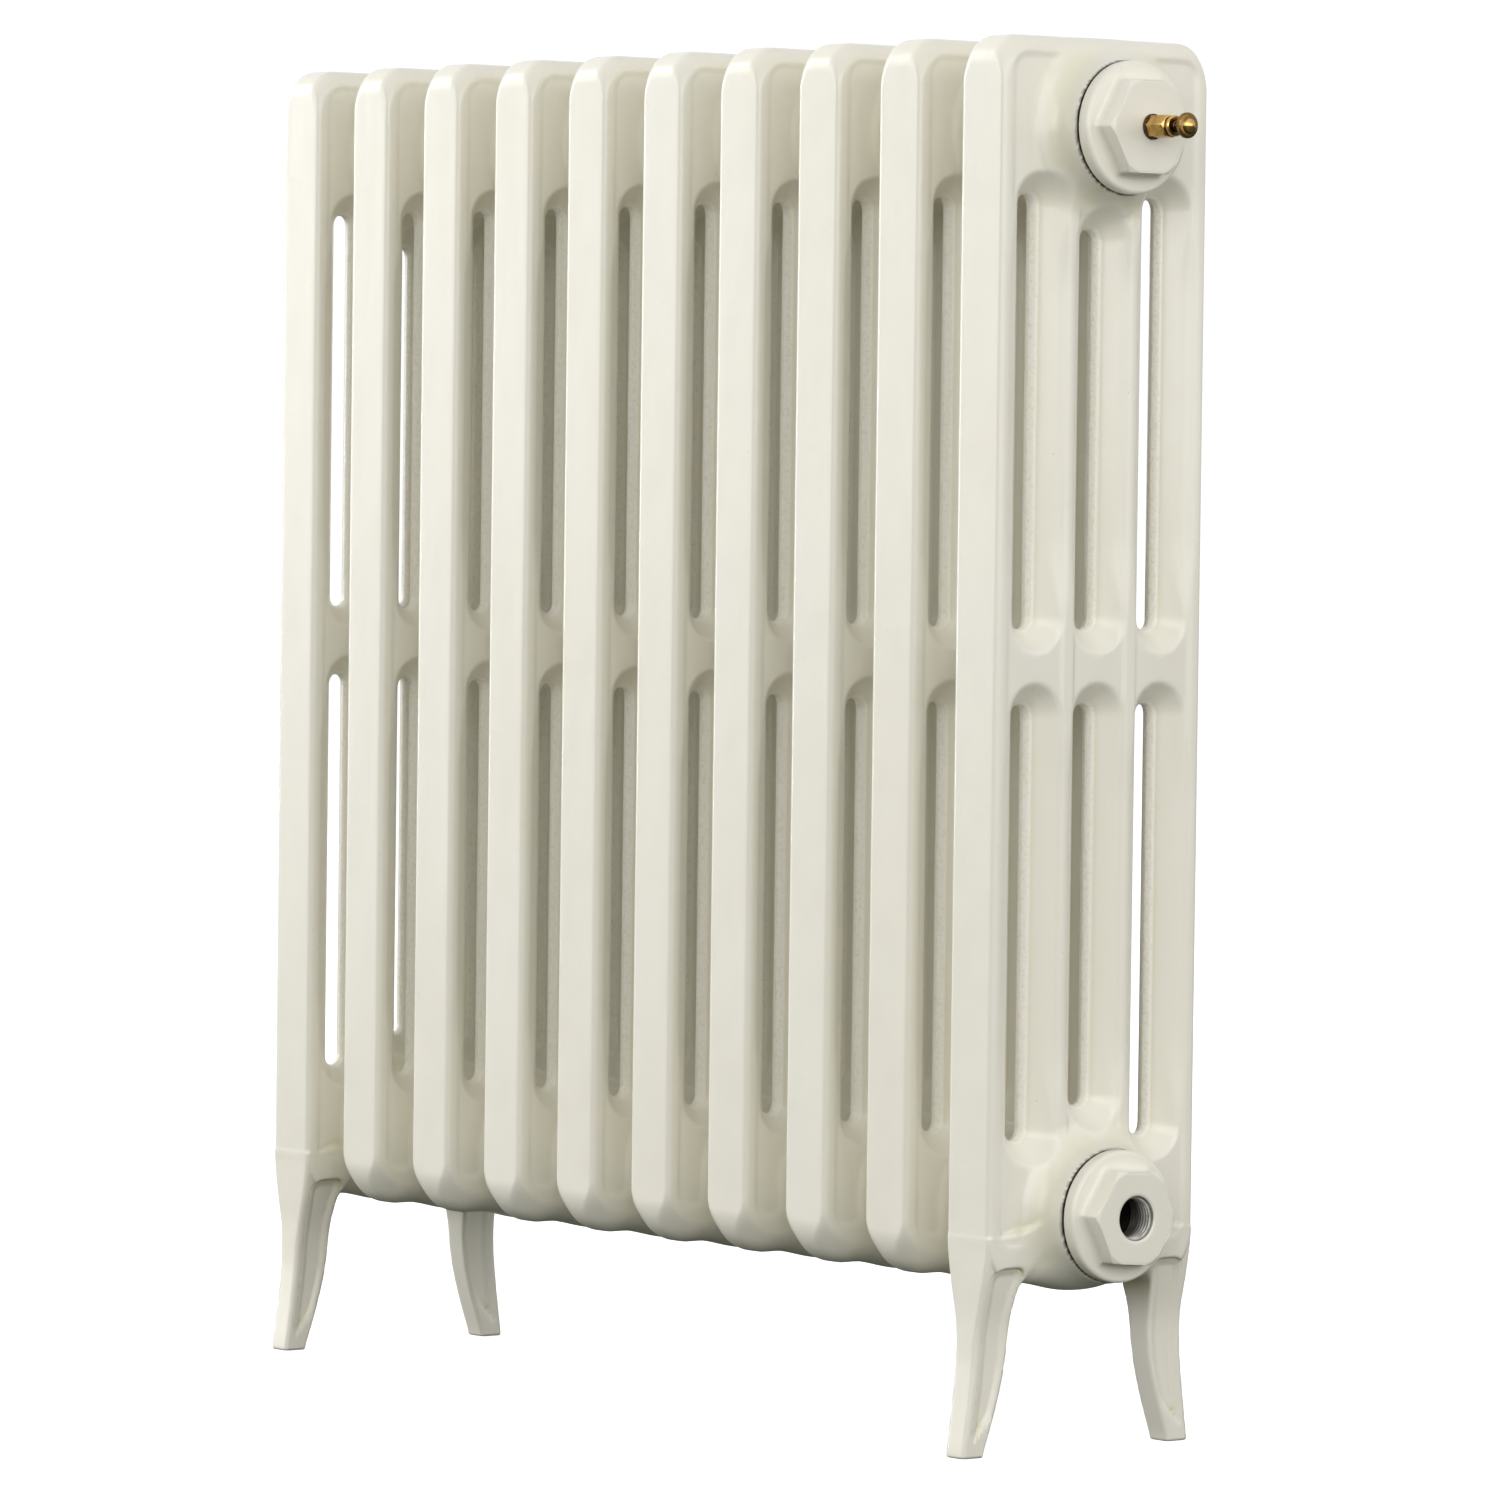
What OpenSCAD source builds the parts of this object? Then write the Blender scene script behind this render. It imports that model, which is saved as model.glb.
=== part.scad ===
// Four-column cast iron radiator: ten hollow sections pulled together on threaded nipples,
// with a bush or plug in each of the four end openings and a hand-turned air vent.
// X runs along the row of sections, Y from the front to the back, Z up from the floor.

/* [Radiator] */
// Number of sections in the row
section_count = 10; // [10:1:10]
// Distance from one section to the next
section_pitch = 60; // [56:1:66]
// Height from the floor to the top
total_height = 660; // [640:10:760]
// Height of the lower hub centres
hub_low_z = 112; // [110:1:114]
// Distance between the lower and upper hub centres
hub_distance = 506; // [486:10:606]

/* [Section casting] */
// Depth of a section from front to back, without the feet
body_depth = 127; // [124:1:134]
// Thickness of a section along the row
body_thick = 31; // [28:1:34]
// Height of the underside of the casting
body_bottom_z = 80; // [78:1:82]
// Radius of the top corners, seen from the end
top_corner_r = 14; // [10:1:18]
// Radius of the bottom corners, seen from the end
bottom_corner_r = 21; // [14:1:24]
// Radius of the long edges
edge_r = 2.5; // [2:0.5:5]
// Radius of the top of a section, seen from the front
top_edge_r = 9; // [5:0.5:11]
// Radius of the bottom of a section, seen from the front
bottom_edge_r = 12; // [5:0.5:13]
// Depth of the sunk side panels
panel_depth = 1.6; // [1:0.1:1.8]
// Width of the rim beside the front and back faces
panel_rim = 5.6; // [5:0.1:6.5]
// Width of the rim over the top of the side panels
panel_top_rim = 8.5; // [7:0.5:10]
// Height of the foot of the side panels above the underside
panel_bottom_rim = 17; // [15:0.5:19]
// Distance between neighbouring columns
column_pitch = 38.5; // [37:0.5:40]
// Width of the flat crest on each column
crest_w = 7; // [5:0.5:9]
// Width of a slot between columns
slot_w = 9.5; // [8:0.5:11]
// Thickness of the thin web around a slot
web_thick = 5; // [4:0.5:7]
// Top of the outer upper slots, below the upper hub centre
slot_top_drop = 32; // [30:1:34]
// Bottom of the outer lower slots, above the lower hub centre
slot_bottom_rise = 35; // [34:1:38]
// How much shorter the middle slots are at the hub end
middle_slot_short = 15.5; // [14:0.5:18]
// Height of the bridge that ties the columns together, between slot ends
bridge_h = 36; // [34:1:44]
// Height of the bridge centre above the lower hub centre
bridge_rise = 255; // [240:1:300]

/* [Waterways] */
// Bore radius of the two inner columns
inner_bore_r = 9; // [7:0.5:9.5]
// Bore radius of the two outer columns
outer_bore_r = 6; // [5:0.5:6.5]
// Distance of the outer column bores from the middle
outer_bore_y = 53.5; // [53:0.25:54]
// Bore radius of the top and bottom headers
header_bore_r = 10.5; // [8:0.5:11]

/* [Hubs] */
// Radius of the round hub bosses
hub_r = 32.5; // [32:0.5:35]
// Radius of the hub bosses where they spread into the side panels
hub_flare_r = 38.5; // [36:0.5:39]
// Thread radius of the hub openings
hub_bore_r = 20.05; // [19.5:0.05:20.5]
// Thickness of the flat gasket between two hubs
gasket_t = 1; // [0.8:0.1:1.5]
// Outer radius of the gaskets
gasket_r = 29; // [27:0.5:30]
// Length of a joining nipple
nipple_len = 40; // [32:1:44]
// Inner radius of a joining nipple
nipple_bore_r = 15.5; // [14:0.5:16]
// Height of the two driving lugs inside a nipple
nipple_lug_h = 2.5; // [2:0.5:3]

/* [Bushes and plugs] */
// Radius of the round flange
flange_r = 31; // [30:0.5:32]
// Thickness of the flange
flange_t = 6.5; // [5:0.5:7]
// Distance across the flats of the hexagon
hex_flats = 43; // [40:1:46]
// Height of the hexagon above the flange
hex_h = 10; // [9:0.5:11]
// Length of the screwed part inside the hub
spigot_len = 16; // [12:1:18]
// Radius of the valve connection, half-inch pipe thread, at the thread crests
valve_bore_r = 9.32; // [9.32:0.01:9.32]
// Length of the valve connection thread
valve_bore_len = 15; // [14:0.5:16]
// Radius of the cored hollow inside a bush
core_r = 13; // [12:0.5:14]
// Radius of the air vent connection, eighth-inch pipe thread
vent_bore_r = 4.3; // [4.3:0.01:4.3]

/* [Air vent] */
// Distance across the flats of the vent body
vent_flats = 10; // [9.5:0.5:10.5]
// Length of the hexagonal part of the vent body
vent_hex_len = 12; // [10:0.5:13]
// Radius of the collar at the end of the vent body
vent_collar_r = 4.9; // [4.5:0.1:5]
// Radius of the knurled knob
knob_r = 6; // [5:0.5:7]
// Thickness of the knob rim
knob_rim_t = 2.5; // [2:0.5:3]
// Radius of the needle shank
needle_r = 2.5; // [2.2:0.1:2.6]
// Radial running clearance of the turning parts
running_gap = 0.05; // [0.03:0.01:0.08]

/* [Feet] */
// Depth over the feet at the floor
feet_depth = 141; // [138:1:144]
// Depth of one foot at the floor
foot_d = 12.5; // [11:0.5:14]
// Thickness of one foot at the floor
foot_t = 12.5; // [11:0.5:14]
// Height at which the leg has its waist
leg_waist_z = 55; // [50:1:60]

/* [Hidden] */
$fn = 64;
CORNER_STEPS = 5;
CURVE_STEPS = 10;
SMALL = 0.01;
hub_high_z = hub_low_z + hub_distance;
hub_half = (section_pitch - gasket_t) / 2;
half_depth = body_depth / 2;
half_thick = body_thick / 2;
half_web = web_thick / 2;
panel_x = half_thick - panel_depth;
panel_corner_r = 12;
hub_flare_x = panel_x + 9;
slot_r = slot_w / 2;
valley_r = (column_pitch - crest_w) / 2;
bridge_z = hub_low_z + bridge_rise;
bridge_low_z = bridge_z - bridge_h / 2;
bridge_high_z = bridge_z + bridge_h / 2;
upper_slot_top = hub_high_z - slot_top_drop;
lower_slot_bottom = hub_low_z + slot_bottom_rise;
spigot_r = hub_bore_r - running_gap;
flange_x = hub_half + gasket_t;
hex_face_x = flange_x + flange_t + hex_h;
hex_corner_r = hex_flats / 2 / cos(30);
hex_chamfer = 2;
vent_washer_t = 1;
vent_washer_r = 6;
vent_seat_x = hex_face_x + vent_washer_t;
vent_corner_r = vent_flats / 2 / cos(30);
vent_chamfer = 0.8;
vent_groove_r = 4;
vent_groove_w = 1.5;
vent_collar_w = 2;
vent_groove_x = vent_seat_x + vent_hex_len;
vent_collar_x = vent_groove_x + vent_groove_w;
vent_end_x = vent_collar_x + vent_collar_w;
vent_spigot_len = 9;
vent_seat_r = 1.2;
needle_bore_len = 11;
needle_tip_len = 2;
knob_gap = 6.3;
knob_x = vent_end_x + knob_gap;
knob_face_x = knob_x + knob_rim_t;
knob_dome_h = 2.5;
knob_dome_r = 4;
knob_hole_len = 3;
knob_hole_r = 2;
vent_tip_x = knob_face_x + knob_dome_h;
row_half = (section_count - 1) * section_pitch / 2;
x_shift = -(vent_tip_x - hex_face_x) / 2;
IRON = [0.90, 0.89, 0.83];
BRASS = [0.78, 0.60, 0.28];
STEEL = [0.55, 0.55, 0.57];
FIBRE = [0.35, 0.30, 0.26];

// Centre of section k along the row, counted from 1 at the left
function section_x(k) = x_shift - row_half + (k - 1) * section_pitch;
// Centre of the joint between section k and the next
function joint_x(k) = section_x(k) + section_pitch / 2;
// Two digits, as the node names end
function two_digits(k) = k < 10 ? str("0", k) : str(k);
// Points of a quarter arc from angle a to a + 90
function arc(cx, cy, r, a) = [for (i = [0:CORNER_STEPS])
    [cx + r * cos(a + 90 * i / CORNER_STEPS), cy + r * sin(a + 90 * i / CORNER_STEPS)]];
// Rectangle with its own radius at the low and at the high corners
function round_box(x0, x1, y0, y1, r_low, r_high) = concat(
    arc(x1 - r_low, y0 + r_low, r_low, -90),
    arc(x1 - r_high, y1 - r_high, r_high, 0),
    arc(x0 + r_high, y1 - r_high, r_high, 90),
    arc(x0 + r_low, y0 + r_low, r_low, 180));
// Points of a cubic curve through a list of four control points
function curve(p) = [for (i = [0:CURVE_STEPS]) let (t = i / CURVE_STEPS)
    pow(1 - t, 3) * p[0] + 3 * t * pow(1 - t, 2) * p[1]
    + 3 * pow(t, 2) * (1 - t) * p[2] + pow(t, 3) * p[3]];

// Turns a solid made along Z so that it lies along X
module along_x() {
    rotate([90, 0, 90]) children();
}

// Cylinder along X between two stations
module x_rod(x0, x1, r, y = 0, z = 0) {
    translate([x0, y, z]) rotate([0, 90, 0]) cylinder(h = x1 - x0, r = r);
}

// Hexagonal bar along X with flats at the top and bottom and a chamfered outer end
module x_hexagon(x0, x1, corner_r, chamfer, z) {
    translate([x0, 0, z]) intersection() {
        rotate([90, 0, 90]) cylinder(h = x1 - x0, r = corner_r, $fn = 6);
        rotate([0, 90, 0]) rotate_extrude() polygon([
            [0, 0], [corner_r + 1, 0], [corner_r + 1, x1 - x0 - chamfer],
            [corner_r - chamfer, x1 - x0], [0, x1 - x0]]);
    }
}

// Solid outline of the casting before the slots are formed
module casting_blank() {
    intersection() {
        translate([-half_thick, 0, 0]) along_x() linear_extrude(body_thick) polygon(
            round_box(-half_depth, half_depth, body_bottom_z, total_height,
                bottom_corner_r, top_corner_r));
        translate([0, 0, body_bottom_z - 1]) linear_extrude(total_height) polygon(
            round_box(-half_thick, half_thick, -half_depth, half_depth, edge_r, edge_r));
        translate([0, half_depth + 1, 0]) rotate([90, 0, 0])
            linear_extrude(body_depth + 2) polygon(
            round_box(-half_thick, half_thick, body_bottom_z, total_height,
                bottom_edge_r, top_edge_r));
    }
}

// Metal taken away from both sides to leave sunk panels between the rim and the column crests
module side_panels() {
    half_panel = half_depth - panel_rim;
    panel_low = body_bottom_z + panel_bottom_rim;
    panel_high = total_height - panel_top_rim;
    for (side = [-1, 1]) mirror([side < 0 ? 1 : 0, 0, 0]) difference() {
        translate([panel_x, 0, 0]) along_x() linear_extrude(panel_depth + 1) polygon(
            round_box(-half_panel, half_panel, panel_low, panel_high,
                panel_corner_r, panel_corner_r));
        for (y = [-column_pitch / 2, column_pitch / 2])
            translate([panel_x - 1, y - crest_w / 2, panel_low - 1])
                cube([panel_depth + 3, crest_w, panel_high - panel_low + 2]);
    }
}

// Half profile of a slot with its two dished sides, from the slot centre outward
function slot_profile() = let (reach = half_thick + 1,
        low_r = slot_r + 2.5, low_x = half_web + 4, bulge_r = slot_r + 6, bulge_x = half_web + 8)
    [[0, -reach], [valley_r, -reach], [valley_r, -panel_x], [bulge_r, -bulge_x],
     [low_r, -low_x], [slot_r, -half_web], [slot_r, half_web], [low_r, low_x],
     [bulge_r, bulge_x], [valley_r, panel_x], [valley_r, reach], [0, reach]];

// Slot between two columns from z0 to z1, dished on both sides and round at its ends
module slot_cut(y, z0, z1) {
    low = z0 + slot_r;
    high = z1 - slot_r;
    profile = slot_profile();
    for (z = [low, high])
        translate([0, y, z]) rotate([0, 90, 0]) rotate_extrude() polygon(profile);
    translate([0, y, low]) linear_extrude(high - low) polygon(concat(
        [for (p = profile) [p[1], p[0]]],
        [for (i = [len(profile) - 1:-1:0]) [profile[i][1], -profile[i][0]]]));
}

// All six slots of a section
module slots() {
    for (side = [-1, 0, 1]) {
        short = side == 0 ? middle_slot_short : 0;
        slot_cut(side * column_pitch, bridge_high_z, upper_slot_top - short);
        slot_cut(side * column_pitch, lower_slot_bottom + short, bridge_low_z);
    }
}

// Hollow water space: four column bores, two headers and the hub openings
module waterways() {
    for (y = [-outer_bore_y, outer_bore_y])
        translate([0, y, hub_low_z]) cylinder(h = hub_distance, r = outer_bore_r);
    for (y = [-column_pitch / 2, column_pitch / 2])
        translate([0, y, hub_low_z]) cylinder(h = hub_distance, r = inner_bore_r);
    for (z = [hub_low_z, hub_high_z]) {
        translate([0, outer_bore_y, z]) rotate([90, 0, 0])
            cylinder(h = 2 * outer_bore_y, r = header_bore_r);
        x_rod(-hub_half - 1, hub_half + 1, hub_bore_r, z = z);
    }
}

// Round hub boss on both sides of a section, spreading into the side panels
module hub(z) {
    translate([0, 0, z]) rotate([0, 90, 0]) rotate_extrude() polygon([
        [0, -hub_half], [hub_r - 1, -hub_half], [hub_r, 1 - hub_half], [hub_r, -hub_flare_x],
        [hub_r + 1.5, -panel_x - 3], [hub_flare_r, -panel_x], [hub_flare_r, panel_x],
        [hub_r + 1.5, panel_x + 3], [hub_r, hub_flare_x], [hub_r, hub_half - 1],
        [hub_r - 1, hub_half], [0, hub_half]]);
}

// Casting with its slots, panels and hubs, still solid inside
module casting() {
    difference() {
        casting_blank();
        side_panels();
        slots();
    }
    for (z = [hub_low_z, hub_high_z]) hub(z);
}

// One section without feet, centred on X = 0
module plain_section() {
    color(IRON) difference() {
        casting();
        waterways();
    }
}

// Side outline of the front leg in Y and Z, with the curved front and back edges
function leg_outline() = let (front = feet_depth / 2, waist = half_depth) concat(
    curve([[-front, 0], [-front + 3, 18], [-waist - 0.5, leg_waist_z - 15],
        [-waist, leg_waist_z + 12]]),
    [[-waist, body_bottom_z + 25], [-36, body_bottom_z + 25], [-36, body_bottom_z + 5]],
    curve([[-37, body_bottom_z + 4], [-43, leg_waist_z + 20], [-43, leg_waist_z - 10],
        [-front + foot_d, 0]]));

// Leg outline seen from the front: it narrows from the full section to the foot
function leg_taper() = let (top = body_bottom_z + 26, half_foot = foot_t / 2) concat(
    [[half_foot, -1]],
    curve([[half_foot, leg_waist_z - 15], [half_foot + 0.5, leg_waist_z + 12],
        [half_thick - 3, body_bottom_z], [half_thick - SMALL, body_bottom_z + 18]]),
    [[half_thick - SMALL, top], [-half_thick + SMALL, top]],
    curve([[-half_thick + SMALL, body_bottom_z + 18], [-half_thick + 3, body_bottom_z],
        [-half_foot - 0.5, leg_waist_z + 12], [-half_foot, leg_waist_z - 15]]),
    [[-half_foot, -1]]);

// Front leg of an end section
module leg() {
    intersection() {
        translate([-half_thick, 0, 0]) along_x()
            linear_extrude(body_thick) polygon(leg_outline());
        rotate([90, 0, 0]) linear_extrude(feet_depth) polygon(leg_taper());
    }
}

// Section with a leg at the front and at the back
module footed_section() {
    color(IRON) difference() {
        union() {
            casting();
            leg();
            mirror([0, 1, 0]) leg();
        }
        waterways();
    }
}

// Section k of the row: the two end sections have feet
module section(k) {
    translate([section_x(k), 0, 0])
        if (k == 1 || k == section_count) footed_section();
        else plain_section();
}

// Hollow threaded nipple that joins two hubs, with two lugs for the long joining key
module nipple(k, z) {
    color(STEEL) translate([joint_x(k), 0, z]) difference() {
        x_rod(-nipple_len / 2, nipple_len / 2, spigot_r);
        difference() {
            x_rod(-nipple_len / 2 - 1, nipple_len / 2 + 1, nipple_bore_r);
            for (side = [-1, 1])
                translate([-nipple_len / 4, -3, side > 0 ? nipple_bore_r - nipple_lug_h
                    : -nipple_bore_r - nipple_lug_h])
                    cube([nipple_len / 2, 6, 2 * nipple_lug_h]);
        }
    }
}

// Flat ring gasket from x to x + gasket_t around a hub opening
module gasket(x, z) {
    color(FIBRE) difference() {
        x_rod(x, x + gasket_t, gasket_r, z = z);
        x_rod(x - 1, x + gasket_t + 1, hub_bore_r + 0.5, z = z);
    }
}

// Blank bush along +X: screwed spigot, round flange and chamfered hexagon
module bush_solid(z) {
    x_rod(flange_x - spigot_len, flange_x + SMALL, spigot_r, z = z);
    x_rod(flange_x, flange_x + flange_t, flange_r, z = z);
    x_hexagon(flange_x + flange_t - SMALL, hex_face_x, hex_corner_r, hex_chamfer, z);
}

// Moves a part made for the right end of section 10 to its place in the row
module at_right_end() {
    translate([section_x(section_count), 0, 0]) children();
}

// The same for the left end of section 1, facing the other way
module at_left_end() {
    translate([section_x(1), 0, 0]) mirror([1, 0, 0]) children();
}

// Bush for the valve: threaded hole outside, wide cored hollow inside
module valve_bush() {
    color(IRON) difference() {
        bush_solid(hub_low_z);
        x_rod(hex_face_x - valve_bore_len, hex_face_x + 1, valve_bore_r, z = hub_low_z);
        x_rod(flange_x - spigot_len - 1, hex_face_x - valve_bore_len + SMALL, core_r,
            z = hub_low_z);
    }
}

// Plug with a small tapped hole for the air vent
module vent_bush() {
    color(IRON) difference() {
        bush_solid(hub_high_z);
        x_rod(flange_x, hex_face_x + 1, vent_bore_r, z = hub_high_z);
        x_rod(flange_x - spigot_len - 1, flange_x + SMALL, core_r, z = hub_high_z);
    }
}

// Plug with no hole, cored out behind
module blank_plug() {
    color(IRON) difference() {
        bush_solid(hub_high_z);
        x_rod(flange_x - spigot_len - 1, flange_x, core_r, z = hub_high_z);
    }
}

// Air vent body: screwed shank, hexagonal barrel, groove and collar, bored for the needle
module vent_body() {
    bore_x = vent_end_x - needle_bore_len;
    color(BRASS) at_right_end() difference() {
        union() {
            x_rod(hex_face_x - vent_spigot_len, vent_seat_x + SMALL, vent_bore_r - running_gap,
                z = hub_high_z);
            x_hexagon(vent_seat_x, vent_groove_x, vent_corner_r, vent_chamfer, hub_high_z);
            x_rod(vent_groove_x - SMALL, vent_collar_x + SMALL, vent_groove_r, z = hub_high_z);
            x_rod(vent_collar_x, vent_end_x, vent_collar_r, z = hub_high_z);
        }
        x_rod(bore_x, vent_end_x + 1, needle_r + running_gap, z = hub_high_z);
        x_rod(hex_face_x - vent_spigot_len - 1, bore_x + SMALL, vent_seat_r, z = hub_high_z);
    }
}

// Thin sealing washer under the vent body
module vent_washer() {
    color(FIBRE) at_right_end() difference() {
        x_rod(hex_face_x, vent_seat_x, vent_washer_r, z = hub_high_z);
        x_rod(hex_face_x - 1, vent_seat_x + 1, vent_bore_r, z = hub_high_z);
    }
}

// Needle that closes the vent seat: pointed tip, screwed shank and a spigot for the knob
module vent_needle() {
    tip_x = vent_end_x - needle_bore_len + running_gap;
    color(BRASS) at_right_end() translate([0, 0, hub_high_z]) rotate([0, 90, 0])
        rotate_extrude() polygon([
            [0, tip_x], [vent_seat_r, tip_x], [needle_r, tip_x + needle_tip_len],
            [needle_r, knob_x - running_gap], [knob_hole_r, knob_x - running_gap],
            [knob_hole_r, knob_x + knob_hole_len - running_gap],
            [0, knob_x + knob_hole_len - running_gap]]);
}

// Round knob with a domed face, turned by hand
module vent_knob() {
    color(BRASS) at_right_end() translate([0, 0, hub_high_z]) rotate([0, 90, 0])
        rotate_extrude() polygon([
            [knob_hole_r + running_gap, knob_x], [knob_r - 0.5, knob_x], [knob_r, knob_x + 0.5],
            [knob_r, knob_face_x - 0.7], [knob_r - 0.7, knob_face_x], [knob_dome_r, knob_face_x],
            [knob_dome_r - 1, knob_face_x + knob_dome_h - 0.8], [0, vent_tip_x],
            [0, knob_x + knob_hole_len], [knob_hole_r + running_gap, knob_x + knob_hole_len]]);
}

for (k = [1:section_count])
    section(k);
for (k = [1:section_count - 1])
    nipple(k, hub_high_z);
for (k = [1:section_count - 1])
    nipple(k, hub_low_z);
for (k = [1:section_count - 1])
    gasket(joint_x(k) - gasket_t / 2, hub_high_z);
for (k = [1:section_count - 1])
    gasket(joint_x(k) - gasket_t / 2, hub_low_z);
at_right_end() vent_bush();
at_left_end() blank_plug();
at_right_end() valve_bush();  // valve_bush_right
at_left_end() valve_bush();  // valve_bush_left
at_right_end() gasket(hub_half, hub_high_z);  // vent_bush_gasket
at_left_end() gasket(hub_half, hub_high_z);  // blank_plug_gasket
at_right_end() gasket(hub_half, hub_low_z);  // valve_bush_right_gasket
at_left_end() gasket(hub_half, hub_low_z);  // valve_bush_left_gasket
vent_body();
vent_washer();
vent_needle();
vent_knob();
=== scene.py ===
"""Cream enamelled cast iron column radiator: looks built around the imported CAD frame."""
import math

import bmesh
import bpy
import numpy as np
from mathutils import Matrix, Vector


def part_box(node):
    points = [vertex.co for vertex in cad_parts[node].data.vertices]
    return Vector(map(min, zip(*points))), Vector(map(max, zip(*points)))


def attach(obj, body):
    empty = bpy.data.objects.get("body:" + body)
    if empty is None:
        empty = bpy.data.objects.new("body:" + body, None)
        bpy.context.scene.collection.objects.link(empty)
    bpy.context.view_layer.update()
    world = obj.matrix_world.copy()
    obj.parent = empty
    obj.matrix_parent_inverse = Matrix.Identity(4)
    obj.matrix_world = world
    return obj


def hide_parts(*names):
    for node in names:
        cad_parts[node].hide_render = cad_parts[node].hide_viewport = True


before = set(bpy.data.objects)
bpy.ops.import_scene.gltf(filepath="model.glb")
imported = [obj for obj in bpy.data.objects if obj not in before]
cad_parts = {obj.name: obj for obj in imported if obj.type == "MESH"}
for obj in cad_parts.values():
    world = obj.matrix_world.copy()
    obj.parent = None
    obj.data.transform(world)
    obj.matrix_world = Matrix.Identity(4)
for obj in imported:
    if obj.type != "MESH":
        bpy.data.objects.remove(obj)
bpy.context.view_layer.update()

MM = 0.001

# ---------------------------------------------------------------- places, from the frame (mm)


def box_mm(node):
    low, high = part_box(node)
    return np.array(low) / MM, np.array(high) / MM


SECTIONS = ["section_%02d" % k for k in range(1, 11)]
section_x = [float(sum(b[0] for b in box_mm(n)) / 2) for n in SECTIONS]
low, high = box_mm("section_02")
TOP = high[2]
HALF_DEPTH = high[1]
HUB_HALF = (high[0] - low[0]) / 2
low, high = box_mm("valve_bush_right")
HUB_LOW = (low[2] + high[2]) / 2
low, high = box_mm("vent_bush")
HUB_HIGH = (low[2] + high[2]) / 2
HEX_FACE = high[0] - section_x[-1]
FEET_HALF = box_mm("section_10")[1][1]

# ---------------------------------------------------------------- shape of a section (mm)

HALF_THICK = 15.5          # half the thickness of the casting at its rim
PANEL = 14.5               # half the thickness at the sunk side panels
BELLY = 80.0               # underside of the casting
TOP_CORNER, BOTTOM_CORNER = 14.0, 21.0
EDGE_R, TOP_EDGE_R, BOTTOM_EDGE_R = 3.2, 9.0, 12.0
RIM_Y = 56.9               # where the rim beside the front and back faces ends
RIM_TOP, RIM_BOTTOM = 651.5, 98.5
PAD_R = 41.5               # raised ground round a hub, inside the side panel
COLUMN = 38.5              # pitch of the columns and of the slots
SLOT_R = 4.75
HALF_WEB = 2.4
CREST_HALF = 3.4
UPPER_SLOT = (385.0, 586.0, 570.5)   # bottom, outer top, middle top
LOWER_SLOT = (349.0, 147.0, 162.0)   # top, outer bottom, middle bottom
FLANK = 1.12               # steepness of the dished side towards a slot
LIP_HIGH, LIP_WIDE = 0.4, 2.2        # rough bead round the edge of a slot
LIP_SOFT = 4.4             # roundness of that edge
PILLOW = 7.0               # softness of the columns beside a slot
PILLOW_RUN = 40.0          # distance from the end of a slot in which it is reached
HUB_R = 31.8
HUB_DRAFT = 0.13
HUB_BORE = 20.05
HUB_FILLET = 13.0
LEG_TOP = 88.5             # top of the hollow in the side of a leg
LEG_ROOT = 104.0           # height at which a leg ends inside the casting
LEG_OUTER = ([0, 15, 30, 45, 66, 95], [70.2, 68.0, 66.0, 64.4, 63.5, 63.5])
LEG_INNER = ([0, 16, 27, 38, 50, 65, 80, 88, 100], [57.4, 51.6, 48.2, 45.3, 43.5, 43.0, 41.0, 37.0, 30.0])
LEG_HALF = ([0, 45, 59, 66, 80, 95, 104], [6.7, 6.9, 7.5, 8.8, 12.2, 14.8, 15.5])
LEG_FLANGE, LEG_LIP, LEG_SUNK = 4.2, 1.6, 1.7    # rims of the hollow in a leg, and its depth


def smooth(t):
    t = np.clip(t, 0.0, 1.0)
    return t * t * (3 - 2 * t)


def join(a, b, k):
    """Union of two fields with a fillet about k wide."""
    h = np.clip(0.5 + 0.5 * (b - a) / k, 0, 1)
    return b * (1 - h) + a * h - k * h * (1 - h)


def cut(a, b, k):
    """Intersection of two fields with a rounded edge about k wide."""
    return -join(-a, -b, k)


def rounded(a, b, r):
    """Intersection of two distances with an edge of radius r."""
    a, b = a + r, b + r
    return np.minimum(np.maximum(a, b), 0) + np.hypot(np.maximum(a, 0), np.maximum(b, 0)) - r


def round_rect(y, z, half_y, z0, z1, r_low, r_high):
    """Distance from a rectangle in Y and Z with its own radius at the low and high corners."""
    middle = (z0 + z1) / 2
    r = np.where(z > middle, r_high, r_low)
    return rounded(y - half_y, np.abs(z - middle) - (z1 - z0) / 2, r)


def bent(z, heights, values):
    """Curve through values given at heights, with its corners eased."""
    fine = np.arange(heights[0] - 40.0, heights[-1] + 40.0, 1.0)
    line = np.interp(fine, heights, values)
    for _ in range(2):
        line = np.convolve(np.pad(line, 4, mode="edge"), np.ones(9) / 9, mode="valid")
    return np.interp(z, fine, line)


SLOTS = ((COLUMN, UPPER_SLOT[0], UPPER_SLOT[1]), (0.0, UPPER_SLOT[0], UPPER_SLOT[2]),
         (COLUMN, LOWER_SLOT[1], LOWER_SLOT[0]), (0.0, LOWER_SLOT[2], LOWER_SLOT[0]))


def slot_shape(y, z):
    """Distance from the nearest slot centreline, dished half thickness, how far along a slot."""
    reach, dish, along = None, None, 0.0
    for centre, z0, z1 in SLOTS:
        low, high = z0 + SLOT_R, z1 - SLOT_R
        away = np.hypot(y - centre, z - np.clip(z, low, high))
        side = HALF_WEB + FLANK * (away - SLOT_R)
        along = np.maximum(along, smooth(np.minimum(z - low, high - z) / PILLOW_RUN))
        reach = away if reach is None else np.minimum(reach, away)
        dish = side if dish is None else join(dish, side, 5.0)
    return reach, dish, along


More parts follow.
